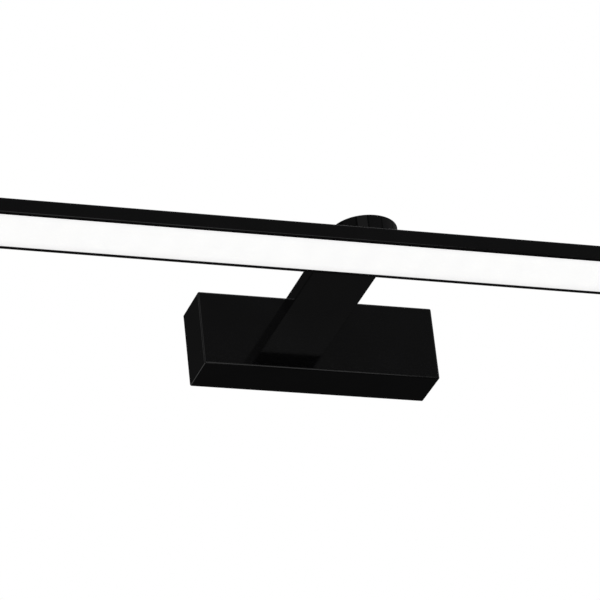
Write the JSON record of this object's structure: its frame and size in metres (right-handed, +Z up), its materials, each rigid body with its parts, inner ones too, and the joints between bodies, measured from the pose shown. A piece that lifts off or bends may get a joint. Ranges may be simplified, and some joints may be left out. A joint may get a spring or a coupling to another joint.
{
  "type": "picture light",
  "caption": "Wall-mounted LED picture light: box wall plate, flat arm with a round end, and a slim light bar that swivels under it.",
  "frame": {"origin": "middle of the wall plate's back, on the wall, half way between the two fixing slots", "axes": "+X along the light bar, +Y into the wall, +Z up; the arm reaches out towards -Y"},
  "size_m": [0.4, 0.1149, 0.0423],
  "materials": {
    "gloss_black_paint": "high gloss powder coat",
    "black_screw": "black oxide, satin",
    "galvanised_steel": "zinc plated, dull",
    "plated_steel": "zinc plated, bright",
    "spring_steel": "tempered, oiled",
    "turned_steel": "turned and nickel plated",
    "brass": "turned",
    "tinned_copper": "tin plated",
    "black_rubber": "matt",
    "foam": "grey closed-cell foam tape",
    "terminal_polyamide": "moulded",
    "driver_polycarbonate": "moulded",
    "circuit_board": "solder mask",
    "ferrite": "sintered",
    "copper_wire": "enamelled",
    "capacitor_sleeve": "shrink sleeve",
    "choke_sleeve": "shrink sleeve",
    "fuse_body": "glazed brown",
    "earth_insulation": "green and yellow",
    "live_insulation": "brown",
    "neutral_insulation": "blue",
    "positive_insulation": "red",
    "negative_insulation": "black",
    "white_nylon": "turned, smooth",
    "opal_acrylic": "opal, satin",
    "heat_tape": "glass cloth in heat-conducting adhesive",
    "white_board": "white solder mask on aluminium",
    "led_phosphor": "phosphor in silicone",
    "solder": "tin solder"
  },
  "bodies": {
    "wall_unit": {"backplate_cover": "gloss_black_paint", "wall_bracket": "galvanised_steel", "cable_grommet": "black_rubber", "cover_screws": "black_screw", "terminal_block": "terminal_polyamide", "terminal_inserts": "brass", "terminal_screws": "plated_steel", "terminal_fixing_screw": "plated_steel", "earth_stud": "brass", "earth_washer": "plated_steel", "earth_ring_terminal": "tinned_copper", "earth_nut": "brass", "earth_lead": "earth_insulation", "mains_lead_live": "live_insulation", "mains_lead_neutral": "neutral_insulation", "driver_pad": "foam", "driver_case": "driver_polycarbonate", "driver_lid": "driver_polycarbonate", "driver_board": "circuit_board", "driver_board_feet": "foam", "driver_transformer": "ferrite", "driver_winding": "copper_wire", "driver_capacitors": "capacitor_sleeve", "driver_choke": "choke_sleeve", "driver_fuse": "fuse_body", "arm_backing_plate": "galvanised_steel", "arm_root_screws": "plated_steel", "arm_grommet": "black_rubber", "arm_body": "gloss_black_paint", "arm_lid": "gloss_black_paint", "arm_lid_screws": "black_screw", "arm_lead_positive": "positive_insulation", "arm_lead_negative": "negative_insulation", "friction_washer": "white_nylon", "thrust_washer": "white_nylon"},
    "light_bar": {"disc_spring": "spring_steel", "pivot_nut": "turned_steel", "pivot_stud": "turned_steel", "stop_pin": "turned_steel", "bar_housing": "gloss_black_paint", "diffuser": "opal_acrylic", "end_cap_left": "gloss_black_paint", "end_cap_right": "gloss_black_paint", "end_cap_screws": "black_screw", "thermal_tape": "heat_tape", "led_board": "white_board", "led_chips": "led_phosphor", "solder_joints": "solder", "bar_lead_positive": "positive_insulation", "bar_lead_negative": "negative_insulation"}
  },
  "joints": [
    {"name": "bar_swivel", "type": "hinge", "parent": "wall_unit", "child": "light_bar", "pos_m": [0, -0.0975, 0.01115], "axis": [0, 0, 1], "range_deg": [-20, 20]}
  ]
}
